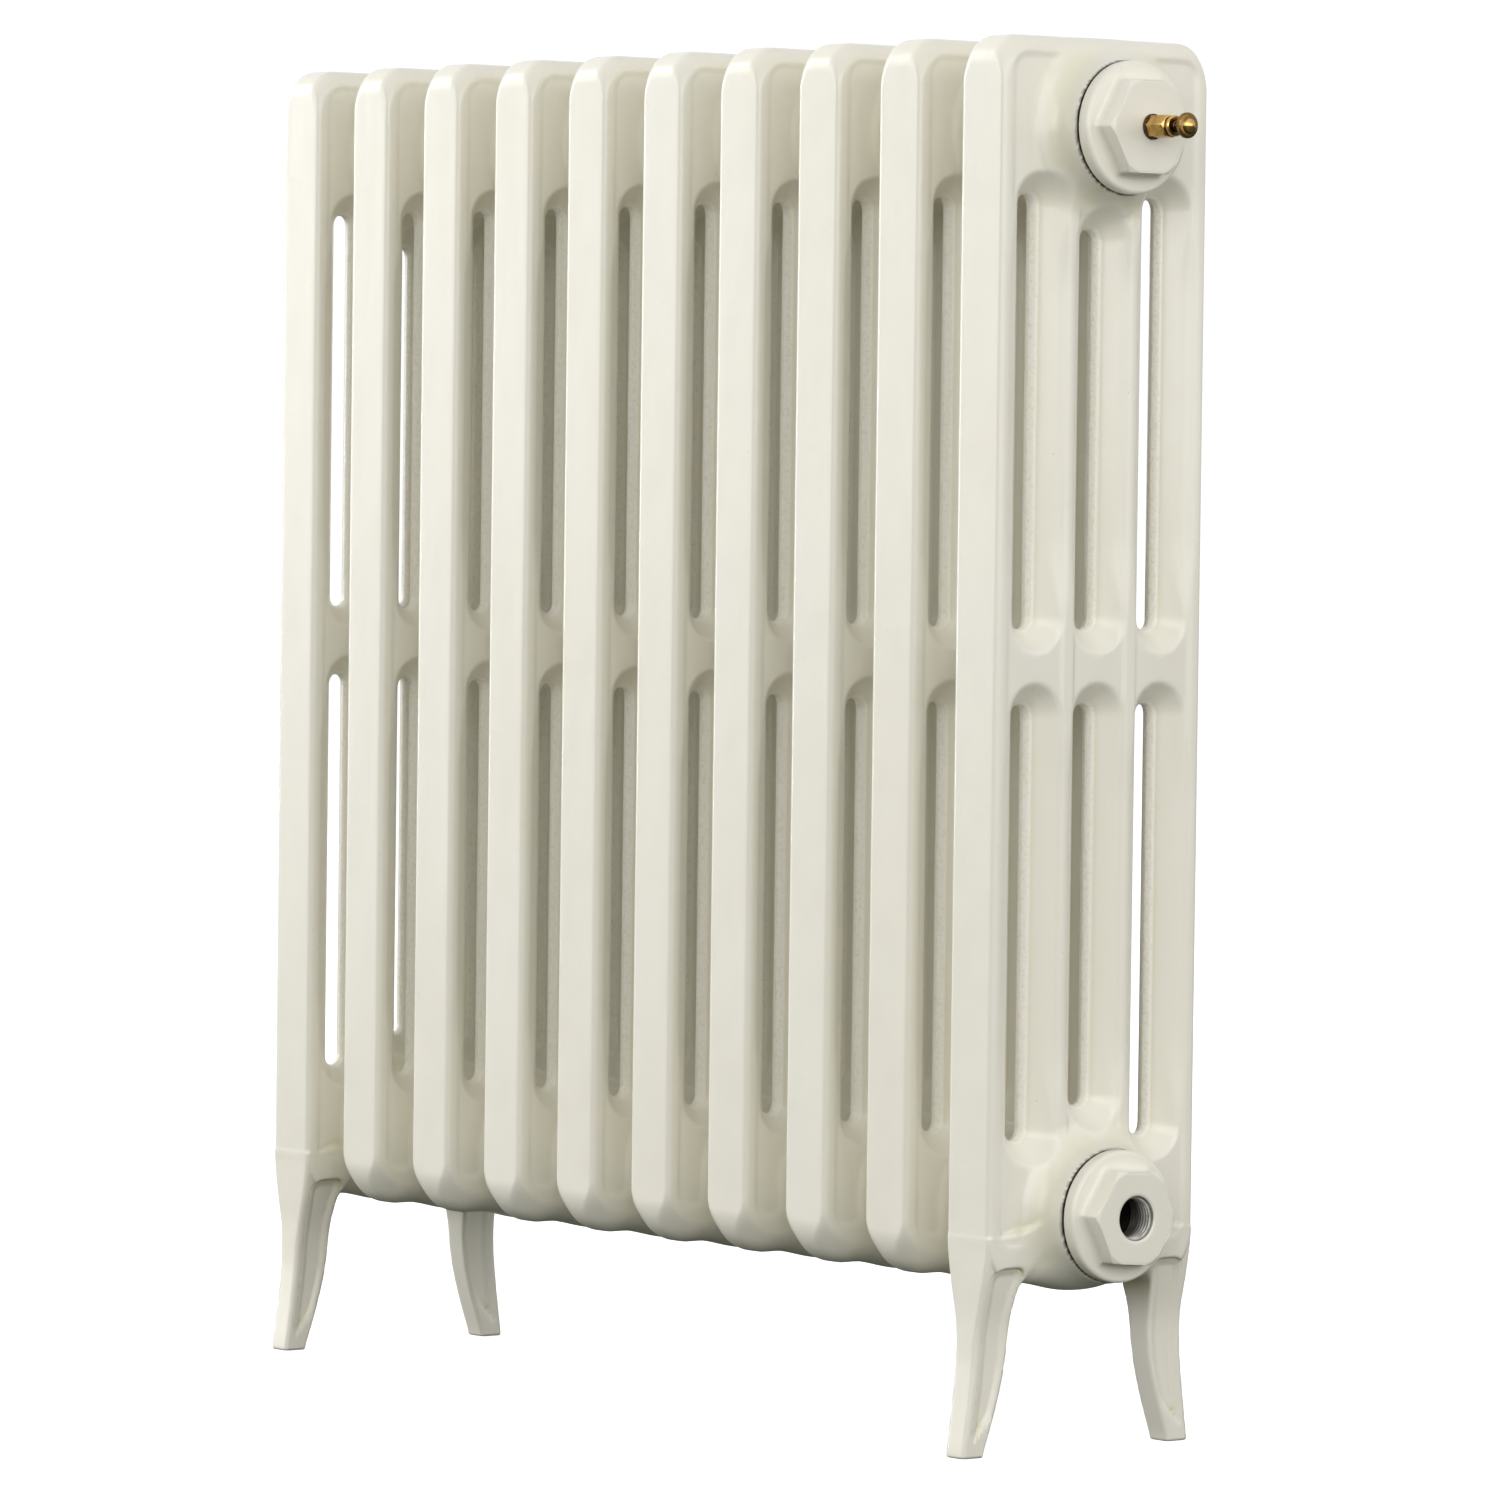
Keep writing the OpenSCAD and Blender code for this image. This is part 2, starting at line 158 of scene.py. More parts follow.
def leg(x, y, z):
    """Field of a leg, and the field of the hollow in its side faces."""
    outer, inner, half = bent(z, *LEG_OUTER), bent(z, *LEG_INNER), bent(z, *LEG_HALF)
    solid = rounded(np.maximum(y - outer, inner - y), x - half, 2.0)
    solid = cut(cut(solid, z - LEG_ROOT, 2.0), -z, 1.4)
    room = np.maximum(y - (outer - LEG_FLANGE), inner + LEG_LIP + 7.0 * smooth((22.0 - z) / 16.0) - y)
    room = cut(rounded(room, z - LEG_TOP, 7.0), 7.5 - z, 4.0)
    depth = LEG_SUNK * smooth(-room / 4.0)
    return solid, np.minimum(x - (half - depth), -room)


def section_field(x, y, z, footed):
    """Signed distance, near enough, from the outside of one section centred on X = 0."""
    x, y = np.abs(x), np.abs(y)
    outline = round_rect(y, z, HALF_DEPTH, BELLY, TOP, BOTTOM_CORNER, TOP_CORNER)
    low_edge = (BOTTOM_EDGE_R - EDGE_R) * (smooth((54.0 - y) / 8.0) if footed else 1.0)
    edge = (EDGE_R + low_edge * smooth((106 - z) / 18)
            + (TOP_EDGE_R - EDGE_R) * smooth((z - 638) / 16))
    body = rounded(outline, x - HALF_THICK, edge)
    panel = round_rect(y, z, RIM_Y, RIM_BOTTOM, RIM_TOP, 8.0, 9.0)
    for hub in (HUB_LOW, HUB_HIGH):
        panel = cut(panel, PAD_R - np.hypot(y, z - hub), 6.0)
    rim = smooth((panel + 2.2) / 4.0)
    crest = smooth((CREST_HALF + 0.9 - np.abs(y - COLUMN / 2)) / 1.8)
    side = PANEL + (HALF_THICK - PANEL) * np.maximum(rim, 0.9 * crest)
    reach, dish, along = slot_shape(y, z)
    dish = dish + LIP_HIGH * smooth((SLOT_R + LIP_WIDE - reach) / 1.1)
    body = cut(body, x - join(side, dish, 1.6 + (PILLOW - 1.6) * along), 0.8)
    body = cut(body, SLOT_R - reach, LIP_SOFT)
    if footed:
        solid, hollow = leg(x, y, z)
        body = join(body, solid, 0.3 + 4.2 * smooth((58.0 - y) / 12.0))
        body = cut(body, hollow, 1.2)
    for hub in (HUB_LOW, HUB_HIGH):
        out = np.hypot(y, z - hub)
        boss = rounded(out - HUB_R - HUB_DRAFT * (HUB_HALF - x), x - HUB_HALF, 1.0)
        body = join(body, boss, HUB_FILLET)
    for hub in (HUB_LOW, HUB_HIGH):
        body = cut(body, HUB_BORE - np.hypot(y, z - hub), 0.8)
    return body


# ---------------------------------------------------------------- meshes from fields

NEAR_PROBE, FAR_PROBE = 5.0, 16.0    # how far out the openness round a vertex is felt
BEND_PROBE = 1.6
LONGEST_STEP = 0.7                   # of a vertex on its way to the surface


def ladder(start, *legs):
    """Grid stations from start through (stop, step) legs."""
    stations = [start]
    for stop, step in legs:
        n = max(1, int(round((stop - stations[-1]) / step)))
        stations += list(np.linspace(stations[-1], stop, n + 1)[1:])
    return np.array(stations)


def mirrored(stations):
    return np.concatenate([-stations[:0:-1], stations])


def surface_net(values, axes):
    """Vertices and quads of the zero surface: one vertex in each cell that the surface crosses."""
    shape = tuple(n - 1 for n in values.shape)
    total, count = np.zeros(shape + (3,)), np.zeros(shape)
    edges = []
    for axis in range(3):
        u, v = [o for o in range(3) if o != axis]
        n = values.shape[axis]
        a, b = np.take(values, range(n - 1), axis), np.take(values, range(1, n), axis)
        cross = (a < 0) != (b < 0)
        share = np.where(cross, a / np.where(a == b, 1.0, a - b), 0.0)
        point = np.zeros(cross.shape + (3,))
        for o in range(3):
            form = [1, 1, 1]
            form[o] = -1
            if o == axis:
                s0, s1 = axes[o][:-1].reshape(form), axes[o][1:].reshape(form)
                point[..., o] = s0 + share * (s1 - s0)
            else:
                point[..., o] = axes[o].reshape(form)
        for du in (0, 1):
            for dv in (0, 1):
                part = [slice(None)] * 3
                part[u], part[v] = slice(du, du + shape[u]), slice(dv, dv + shape[v])
                hit = cross[tuple(part)]
                total += point[tuple(part)] * hit[..., None]
                count += hit
        edges.append((cross, a < 0, u, v))
    used = count > 0
    index = np.full(shape, -1)
    index[used] = np.arange(used.sum())
    quads = []
    for axis, (cross, rising, u, v) in enumerate(edges):
        inner = [slice(None)] * 3
        inner[u], inner[v] = slice(1, -1), slice(1, -1)
        where = np.argwhere(cross[tuple(inner)])
        up = rising[tuple(inner)][tuple(where.T)]
        where[:, u] += 1
        where[:, v] += 1
        ring = []
        for du, dv in ((-1, -1), (0, -1), (0, 0), (-1, 0)):
            cell = where.copy()
            cell[:, u] += du
            cell[:, v] += dv
            ring.append(index[tuple(cell.T)])
        ring = np.stack(ring, 1)
        if axis == 1:
            up = ~up
        ring[~up] = ring[~up][:, ::-1]
        quads.append(ring)
    return total[used] / count[used][:, None], np.concatenate(quads)


def slope(field, p, h):
    """Gradient of a field at points p, from steps of h."""
    steps = np.eye(3) * h
    return np.stack([field(*(p + s).T) - field(*(p - s).T) for s in steps], 1) / (2 * h)


def unit(v):
    return v / np.maximum(np.linalg.norm(v, axis=1, keepdims=True), 1e-9)


def meshed_field(name, field, axes, half):
    """Mesh in metres of a field that is the same on both sides of X = 0 and Y = 0.

    Its attributes tell the enamel where it bends, is hemmed in, meets a gasket or edges a slot, for its
    painted shade, dark joints and painted lip highlight.
    """
    xs, ys, zs = axes
    grid = np.meshgrid(xs, ys, zs, indexing="ij")
    quarter = field(*grid)
    values = np.concatenate([quarter[:0:-1], quarter], 0)
    values = np.concatenate([values[:, :0:-1], values], 1)
    verts, quads = surface_net(values, (mirrored(xs), mirrored(ys), zs))
    for _ in range(4):
        grad = slope(field, verts, 0.05)
        step = field(*verts.T)[:, None] * grad / np.maximum((grad ** 2).sum(1, keepdims=True), 0.05)
        size = np.linalg.norm(step, axis=1, keepdims=True)
        verts -= step * np.minimum(1.0, LONGEST_STEP / np.maximum(size, 1e-9))
    verts = np.clip(verts, half[0], half[1])
    normals = unit(slope(field, verts, 0.25))
    mesh = bpy.data.meshes.new(name)
    mesh.from_pydata(verts * MM, [], quads.tolist())
    mesh.polygons.foreach_set("use_smooth", np.ones(len(quads), bool))
    around = sum(field(*(verts + s * d).T) for d in np.eye(3) for s in (-BEND_PROBE, BEND_PROBE))
    bend = np.clip((around - 6 * field(*verts.T)) / 2.0, -1, 1)
    open_near = np.clip(field(*(verts + normals * NEAR_PROBE).T) / NEAR_PROBE, 0, 1)
    open_far = np.clip(field(*(verts + normals * FAR_PROBE).T) / FAR_PROBE, 0, 1)
    joint = smooth((np.abs(verts[:, 0]) - HUB_HALF + 0.3) / 0.3)
    reach = slot_shape(np.abs(verts[:, 1]), verts[:, 2])[0]
    lip = smooth((SLOT_R + LIP_WIDE - reach) / 0.8)
    for key, data in (("edge", bend), ("open_near", open_near), ("open_far", open_far),
                      ("joint", joint), ("lip", lip)):
        mesh.attributes.new(key, "FLOAT", "POINT").data.foreach_set("value", data.astype(np.float32))
    mesh.normals_split_custom_set_from_vertices(normals.tolist())
    mesh.update()
    return mesh


def section_mesh(name, footed):
    xs = ladder(0.0, (2.0, 1.0), (3.5, 0.75), (12.0, 1.7), (16.5, 0.75), (31.0, 1.8))
    ys = ladder(0.0, (3.0, 1.5), (7.0, 1.0), (15.0, 1.8), (24.0, 1.0), (32.0, 1.8), (36.0, 1.0),
                (41.0, 1.7), (45.0, 1.0), (54.5, 1.8), (65.0, 0.9), (73.0, 1.6))
    lowest = (-1.0, (5.0, 1.0), (74.0, 2.2)) if footed else (73.0, (74.0, 1.0))
    zs = ladder(*lowest, (110.0, 1.5), (178.0, 2.0), (332.0, 11.0), (402.0, 2.0),
                (555.0, 11.0), (640.0, 2.0), (661.0, 1.2))
    reach = FEET_HALF if footed else HALF_DEPTH
    bottom = 0.0 if footed else 74.0
    return meshed_field(name, lambda x, y, z: section_field(x, y, z, footed), (xs, ys, zs),
                        (np.array([-HUB_HALF, -reach, bottom]), np.array([HUB_HALF, reach, TOP])))


# ---------------------------------------------------------------- turned and hexagonal parts


def lathe(name, rings, around):
    """Mesh along X from rings, each a pair (x, r) of numbers or of arrays over the angle."""
    angle = np.arange(around) * 2 * math.pi / around
    verts = []
    for x, r in rings:
        x, r = np.broadcast_to(x, around), np.broadcast_to(r, around)
        verts.append(np.stack([x, r * np.sin(angle), r * np.cos(angle)], 1))
    verts = np.concatenate(verts)
    faces = []
    for i in range(len(rings) - 1):
        a = i * around + np.arange(around)
        b = i * around + (np.arange(around) + 1) % around
        faces.append(np.stack([a, a + around, b + around, b], 1))
    faces = np.concatenate(faces).tolist()
    mesh = bpy.data.meshes.new(name)
    mesh.from_pydata(verts * MM, [], faces)
    mesh.polygons.foreach_set("use_smooth", np.ones(len(faces), bool))
    mesh.update()
    return mesh


def tidy(mesh, sharp):
    """Joins the rings that meet on the axis and marks the sharp edges."""
    b = bmesh.new()
    b.from_mesh(mesh)
    bmesh.ops.remove_doubles(b, verts=b.verts, dist=1e-6)
    bmesh.ops.dissolve_degenerate(b, edges=b.edges, dist=1e-7)
    bmesh.ops.recalc_face_normals(b, faces=b.faces)
    for e in b.edges:
        e.smooth = len(e.link_faces) != 2 or e.calc_face_angle(0) < math.radians(sharp)
    b.to_mesh(mesh)
    b.free()
    mesh.update()
    return mesh


def corner(x, r, size, a0, a1, n=4):
    """Rings of a rounded corner round the centre (x, r), from angle a0 to a1, 0 along +X."""
    return [(x + size * math.cos(math.radians(a)), r + size * math.sin(math.radians(a)))
            for a in np.linspace(a0, a1, n + 1)]


def hexagon(around, flats, turn, soft):
    """Radius of a hexagon with corners eased by soft, over the angle from the Z axis."""
    angle = np.arange(around) * 2 * math.pi / around - turn
    near = (angle + math.pi / 6) % (math.pi / 3) - math.pi / 6
    r = flats / 2 / np.cos(near)
    limit = flats / 2 / math.cos(math.pi / 6) - soft
    return -np.log(np.exp(-6 * r) + np.exp(-6 * limit)) / 6


# Bushes, measured from the middle of the end section
BUSH_AROUND = 240
FLANGE_X = HUB_HALF + 1.0
FLANGE_R = 31.0
FLANGE_T = 6.5
HEX_FLATS = 43.0
SPIGOT = 16.0
SPIGOT_R = 20.0
CORE_R = 13.0
THREAD_PITCH = 1.814
VALVE_R = 9.32
VALVE_DEPTH = 15.0
THREAD_DEPTH = 1.16
HEX_FILLET = 3.2           # soft foot of the hexagon on the flange
FLANGE_EDGE = 2.0
VENT_BORE_R = 4.3
GASKET_SHADOW = 0.25       # how far the dark of a joint reaches up the flange


def bush_mesh(name, turn, hole):
    """Bush or plug along +X, in the frame of its section: screwed spigot, flange, chamfered hexagon."""
    angle = np.arange(BUSH_AROUND) * 2 * math.pi / BUSH_AROUND
    hexa = hexagon(BUSH_AROUND, HEX_FLATS, turn, 0.25)
    face_r = HEX_FLATS / 2 / math.cos(math.pi / 6) - 2.2
    inside = FLANGE_X - SPIGOT
    front = FLANGE_X + FLANGE_T
    rings = [(inside, CORE_R), (inside, SPIGOT_R - 1.0), (inside + 1.0, SPIGOT_R), (FLANGE_X, SPIGOT_R)]
    rings += corner(FLANGE_X + 0.5, FLANGE_R - 0.5, 0.5, 180, 90, 3)
    rings += corner(front - FLANGE_EDGE, FLANGE_R - FLANGE_EDGE, FLANGE_EDGE, 90, 0, 7)
    for share in np.linspace(0, 1, 5):
        lift = HEX_FILLET * (1 - math.cos(share * math.pi / 2))
        rings.append((front + lift, hexa + HEX_FILLET * (1 - math.sin(share * math.pi / 2))))
    drop = np.maximum(hexa - face_r, 0) * 0.72
    for ease in (0.45, 0.2, 0.0):
        rings.append((HEX_FACE - drop - ease, hexa - (0.45 - ease) * 0.3))
    rim = np.minimum(hexa - 0.45, face_r)
    rings += [(HEX_FACE - 0.12, rim + 0.15), (HEX_FACE, rim - 0.3), (HEX_FACE, rim - 1.2)]
    if hole == "valve":
        lead = VALVE_R + 1.5
        rings += [(HEX_FACE, lead + 1.6), (HEX_FACE, lead + 0.5),
                  (HEX_FACE - 0.15, lead + 0.15), (HEX_FACE - 0.5, lead - 0.25)]
        for d in np.arange(0.9, VALVE_DEPTH, THREAD_PITCH / 9):
            wave = 0.5 + 0.5 * np.cos(2 * math.pi * d / THREAD_PITCH + angle)
            fade = max(0.0, 1 - (d - 0.9) / 1.4)
            rings.append((HEX_FACE - d, VALVE_R + THREAD_DEPTH * np.maximum(wave, fade * 0.75)))
        rings += [(HEX_FACE - VALVE_DEPTH, CORE_R - 1.0), (HEX_FACE - VALVE_DEPTH, CORE_R), (inside, CORE_R)]
    elif hole == "vent":
        rings += [(HEX_FACE, 8.0), (HEX_FACE, VENT_BORE_R + 0.5), (HEX_FACE - 0.5, VENT_BORE_R),
                  (FLANGE_X, VENT_BORE_R), (FLANGE_X, CORE_R), (inside, CORE_R)]
    else:
        rings += [(HEX_FACE, 10.0), (HEX_FACE, 4.0), (HEX_FACE, 0.0)]
    mesh = lathe(name, rings, BUSH_AROUND)
    if hole is None:
        core = lathe(name + "_core", [(FLANGE_X, 0.0), (FLANGE_X, CORE_R), (inside, CORE_R)], BUSH_AROUND)
        mesh = joined(name, [mesh, core])
    mesh = tidy(mesh, 32)
    at = np.array([v.co.x for v in mesh.vertices]) / MM
    joint = smooth((FLANGE_X + GASKET_SHADOW - at) / GASKET_SHADOW)
    mesh.attributes.new("joint", "FLOAT", "POINT").data.foreach_set("value", joint.astype(np.float32))
    if hole == "valve":
        for face in mesh.polygons:
            reach = math.hypot(face.center.y, face.center.z) / MM
            if face.center.x / MM < HEX_FACE - 0.7 and reach < CORE_R + 0.3:
                face.material_index = 1
    return mesh


def joined(name, meshes):
    """One mesh from several, which are removed."""
    b = bmesh.new()
    for m in meshes:
        b.from_mesh(m)
    out = bpy.data.meshes.new(name)
    b.to_mesh(out)
    b.free()
    for m in meshes:
        bpy.data.meshes.remove(m)
    out.polygons.foreach_set("use_smooth", np.ones(len(out.polygons), bool))
    return out


def placed(name, mesh, x, z, body, node, slot_name, *materials, flip=False):
    """Puts a mesh at (x, 0, z) mm as the looks of a CAD node; flip turns it to face the left end."""
    o = bpy.data.objects.new(name, mesh)
    bpy.context.scene.collection.objects.link(o)
    o.location = (x * MM, 0, z * MM)
    if flip:
        o.rotation_euler = (0, 0, math.pi)
    for material in materials:
        mesh.materials.append(material)
    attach(o, body)
    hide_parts(node)
    return o


# ---------------------------------------------------------------- materials


class Nodes:
    """A short way to wire a material."""

    def __init__(self, name):
        self.material = bpy.data.materials.new(name)
        self.material.use_nodes = True
        self.tree = self.material.node_tree
        self.tree.nodes.clear()
        self.out = self.add("ShaderNodeOutputMaterial")
        self.shader = self.add("ShaderNodeBsdfPrincipled")
        self.tree.links.new(self.shader.outputs[0], self.out.inputs[0])

    def add(self, kind, **settings):
        node = self.tree.nodes.new(kind)
        for key, value in settings.items():
            setattr(node, key, value)
        return node

    def link(self, a, b):
        self.tree.links.new(a, b)

    def put(self, socket, value):
        if isinstance(value, bpy.types.NodeSocket):
            self.link(value, socket)
        else:
            socket.default_value = value

    def set(self, **values):
        for key, value in values.items():
            self.put(self.shader.inputs[key.replace("_", " ").title()], value)

    def place(self, spread=0.0):
        """Place on the object; spread moves the pattern from one copy to the next."""
        coords = self.add("ShaderNodeTexCoord").outputs["Object"]
        if not spread:
            return coords
        info = self.add("ShaderNodeObjectInfo")
        scaled = self.add("ShaderNodeVectorMath", operation="SCALE")
        self.link(info.outputs["Location"], scaled.inputs[0])
        scaled.inputs["Scale"].default_value = spread
        total = self.add("ShaderNodeVectorMath", operation="ADD")
        self.link(coords, total.inputs[0])
        self.link(scaled.outputs[0], total.inputs[1])
        return total.outputs[0]

    def stretch(self, vector, scale):
        node = self.add("ShaderNodeVectorMath", operation="MULTIPLY")
        self.link(vector, node.inputs[0])
        node.inputs[1].default_value = scale
        return node.outputs[0]

    def noise(self, vector, scale, detail=2.0, rough=0.5):
        node = self.add("ShaderNodeTexNoise")
        self.link(vector, node.inputs["Vector"])
        node.inputs["Scale"].default_value = scale
        node.inputs["Detail"].default_value = detail
        node.inputs["Roughness"].default_value = rough
        return node.outputs["Fac"]

    def cells(self, vector, scale):
        node = self.add("ShaderNodeTexVoronoi", feature="F1")
        self.link(vector, node.inputs["Vector"])
        node.inputs["Scale"].default_value = scale
        node.inputs["Randomness"].default_value = 1.0
        return node.outputs["Distance"]

    def math(self, operation, a, b=0.0):
        node = self.add("ShaderNodeMath", operation=operation)
        self.put(node.inputs[0], a)
        self.put(node.inputs[1], b)
        return node.outputs[0]

    def fit(self, value, a0, a1, b0=0.0, b1=1.0):
        """Value eased from the range a0 to a1 into the range b0 to b1."""
        node = self.add("ShaderNodeMapRange", interpolation_type="SMOOTHSTEP")
        self.put(node.inputs["Value"], value)
        for key, number in (("From Min", a0), ("From Max", a1), ("To Min", b0), ("To Max", b1)):
            node.inputs[key].default_value = number
        return node.outputs[0]

    def attribute(self, name):
        return self.add("ShaderNodeAttribute", attribute_name=name).outputs["Fac"]

    def bump(self, height, distance, strength=1.0, after=None):
        node = self.add("ShaderNodeBump")
        self.link(height, node.inputs["Height"])
        node.inputs["Distance"].default_value = distance
        node.inputs["Strength"].default_value = strength
        if after is not None:
            self.link(after, node.inputs["Normal"])
        return node.outputs[0]


def off_axis(n, at):
    """Place along X, and distance from the X axis, on a turned piece."""
    parts = n.add("ShaderNodeSeparateXYZ")
    n.link(at, parts.inputs[0])
    square = n.math("ADD", n.math("POWER", parts.outputs["Y"], 2.0), n.math("POWER", parts.outputs["Z"], 2.0))
    return parts.outputs["X"], n.math("SQRT", square)


def mix_rgb(n, share, a, b):
    node = n.add("ShaderNodeMix", data_type="RGBA")
    n.put(node.inputs[0], share)
    n.put(node.inputs[6], a)
    n.put(node.inputs[7], b)
    return node.outputs[2]


def rgb(r, g, b):
    """A colour given in screen values 0 to 255."""
    shares = (c / 255 for c in (r, g, b))
    return tuple((c / 12.92 if c <= 10 / 255 else ((c + 0.055) / 1.055) ** 2.4) for c in shares) + (1.0,)


CREAM = rgb(238, 235, 222)
# Olive used for the enamel's faint random mottle, and as the colour of painted shade in its hollows and
# creases
AGED_AND_SHADE = rgb(206, 201, 150)
SPECK = rgb(150, 140, 112)
# Near-white of the painted highlight on the lips round the slots
PAINTED_LIP_HIGHLIGHT = rgb(247, 245, 236)
JOINT_DARK = rgb(58, 54, 44)


def enamel(name, tone, aged_and_shade, modelled):
    """Cream stoved enamel; on modelled meshes painted shade darkens it where they are hollowed, hemmed in or
    creased, and a painted highlight whitens the lips of the slots.
    """
    n = Nodes(name)
    at = n.place(7.0)
    broad = n.noise(at, 6.0, 2.0, 0.5)
    fine = n.noise(at, 70.0, 3.0, 0.6)
    warmer = tuple(c * f for c, f in zip(tone, (0.985, 0.98, 0.965, 1)))
    colour = mix_rgb(n, n.fit(broad, 0.3, 0.7), tone, warmer)
    colour = mix_rgb(n, n.fit(fine, 0.55, 0.9, 0.0, 0.1), colour, aged_and_shade)
    if modelled:
        # Painted shade: the enamel goes olive where it is hemmed in, close by and further out, as in the
        # slots and between the columns
        near = n.math("MULTIPLY", n.fit(n.attribute("open_near"), 0.95, 0.4), 0.7)
        colour = mix_rgb(n, near, colour, aged_and_shade)
        far = n.math("MULTIPLY", n.fit(n.attribute("open_far"), 0.9, 0.2), 0.48)
        colour = mix_rgb(n, far, colour, aged_and_shade)
        # Painted shade: darker olive where the surface bends inwards into a crease
        crease_shade = n.fit(n.attribute("edge"), -0.2, -0.8, 0.0, 0.25)
        colour = mix_rgb(n, crease_shade, colour, tuple(c * 0.75 for c in aged_and_shade[:3]) + (1.0,))
    specks = n.fit(n.cells(at, 150.0), 0.05, 0.035)
    rare = n.fit(n.noise(at, 60.0, 1.0), 0.63, 0.67)
    colour = mix_rgb(n, n.math("MULTIPLY", n.math("MULTIPLY", specks, rare), 0.5), colour, SPECK)
    if modelled:
        # Painted highlight: near-white on the lips round the slots, broken up by the rough crumbs
        lip = n.attribute("lip")
        crumbs = n.noise(at, 520.0, 3.0, 0.7)
        lip_highlight = n.math("MULTIPLY", lip, n.fit(crumbs, 0.35, 0.5, 0.6, 1.0))
        colour = mix_rgb(n, lip_highlight, colour, PAINTED_LIP_HIGHLIGHT)
    colour = mix_rgb(n, n.attribute("joint"), colour, JOINT_DARK)
    n.set(base_color=colour, roughness=n.fit(fine, 0.3, 0.7, 0.30, 0.40))
    n.shader.inputs["Coat Weight"].default_value = 0.3
    n.shader.inputs["Coat Roughness"].default_value = 0.08
    n.shader.inputs["Specular IOR Level"].default_value = 0.5
    runs = n.noise(n.stretch(at, (1.0, 1.0, 0.35)), 55.0, 2.0, 0.5)
    peel = n.noise(at, 420.0, 2.0, 0.5)
    normal = n.bump(peel, 0.0001, 0.5, n.bump(runs, 0.0007, 0.4))
    if modelled:
        normal = n.bump(n.math("MULTIPLY", lip, crumbs), 0.0006, 0.6, normal)
    n.link(normal, n.shader.inputs["Normal"])
    return n.material


def thread_iron(name):
    """Bare dark iron in a valve hole, with paint mist on the first turns of the thread."""
    n = Nodes(name)
    at = n.place()
    along, reach = off_axis(n, at)
    crest = n.fit(reach, (VALVE_R + 0.95) * MM, (VALVE_R + 0.15) * MM)
    near = n.fit(along, (HEX_FACE - 11.0) * MM, (HEX_FACE - 3.0) * MM)
    grime = n.noise(at, 260.0, 4.0, 0.65)
    mist = n.math("MULTIPLY", n.fit(crest, 0.0, 1.0, 0.35, 1.0), near)
    mist = n.math("MULTIPLY", mist, n.fit(grime, 0.3, 0.65, 0.55, 1.0))
    colour = mix_rgb(n, n.fit(grime, 0.35, 0.7), rgb(44, 42, 40), rgb(66, 52, 40))
    colour = mix_rgb(n, mist, colour, rgb(232, 230, 222))
    n.set(base_color=colour, roughness=n.fit(grime, 0.3, 0.7, 0.5, 0.8))
    n.link(n.bump(grime, 0.0003, 0.5), n.shader.inputs["Normal"])
    return n.material


def brass(name, tone, dark, brown_band):
    """Turned brass, going brown between two distances off its axis by the share given third."""
    n = Nodes(name)
    at = n.place()
    reach = off_axis(n, at)[1]
    broad = n.noise(at, 160.0, 3.0, 0.6)
    turned = n.noise(n.stretch(at, (60.0, 1.0, 1.0)), 90.0, 2.0, 0.6)
    colour = mix_rgb(n, n.fit(broad, 0.4, 0.75), tone, dark)
    colour = mix_rgb(n, n.fit(turned, 0.3, 0.8, 0.0, 0.25), colour, rgb(236, 210, 140))
    bare, full, share = brown_band
    colour = mix_rgb(n, n.fit(reach, bare * MM, full * MM, 0.0, share), colour, rgb(74, 46, 22))
    n.set(base_color=colour, roughness=n.fit(broad, 0.3, 0.7, 0.18, 0.38))
    n.shader.inputs["Metallic"].default_value = 1.0
    n.link(n.bump(turned, 0.00004, 0.5), n.shader.inputs["Normal"])
    return n.material


def steel(name):
    n = Nodes(name)
    at = n.place()
    grime = n.noise(at, 120.0, 4.0, 0.6)
    colour = mix_rgb(n, n.fit(grime, 0.4, 0.7), rgb(138, 138, 140), rgb(92, 78, 62))
    n.set(base_color=colour, roughness=n.fit(grime, 0.3, 0.7, 0.35, 0.7))
    n.shader.inputs["Metallic"].default_value = 1.0
    n.link(n.bump(grime, 0.0002, 0.4), n.shader.inputs["Normal"])
    return n.material


def fibre(name, tone, dark):
    n = Nodes(name)
    at = n.place()
    grain = n.noise(n.stretch(at, (3.0, 1.0, 1.0)), 900.0, 3.0, 0.6)
    stain = n.noise(at, 70.0, 2.0)
    colour = mix_rgb(n, n.fit(grain, 0.35, 0.65), tone, dark)
    colour = mix_rgb(n, n.fit(stain, 0.5, 0.75, 0.0, 0.5), colour, dark)
    n.set(base_color=colour, roughness=n.fit(grain, 0.3, 0.7, 0.7, 0.95))
    n.link(n.bump(grain, 0.0001, 0.5), n.shader.inputs["Normal"])
    return n.material


cream = enamel("cream_enamel", CREAM, AGED_AND_SHADE, True)
cream_bush = enamel("cream_enamel_bush", CREAM, AGED_AND_SHADE, False)
thread = thread_iron("thread_iron")
# Both brasses go brown by distance from their axis: the vent body and needle inward of 4.5 mm, the knob
# outward of 2.4 mm
vent_brass = brass("vent_brass", rgb(206, 168, 100), rgb(150, 112, 62), (4.5, 4.1, 0.85))
knob_brass = brass("knob_brass", rgb(224, 186, 112), rgb(150, 104, 56), (2.4, 3.8, 0.8))
nipple_steel = steel("nipple_steel")
gasket_fibre = fibre("gasket_fibre", rgb(92, 84, 70), rgb(48, 43, 36))
seal_fibre = fibre("seal_fibre", rgb(96, 62, 38), rgb(58, 38, 26))

# ---------------------------------------------------------------- pieces

plain = section_mesh("plain_section", False)
footed = section_mesh("footed_section", True)
for k, (node, x) in enumerate(zip(SECTIONS, section_x)):
    mesh = footed if k in (0, len(SECTIONS) - 1) else plain
    placed(node + "_casting", mesh, x, 0.0, "radiator", node, "enamelled_iron", cream)

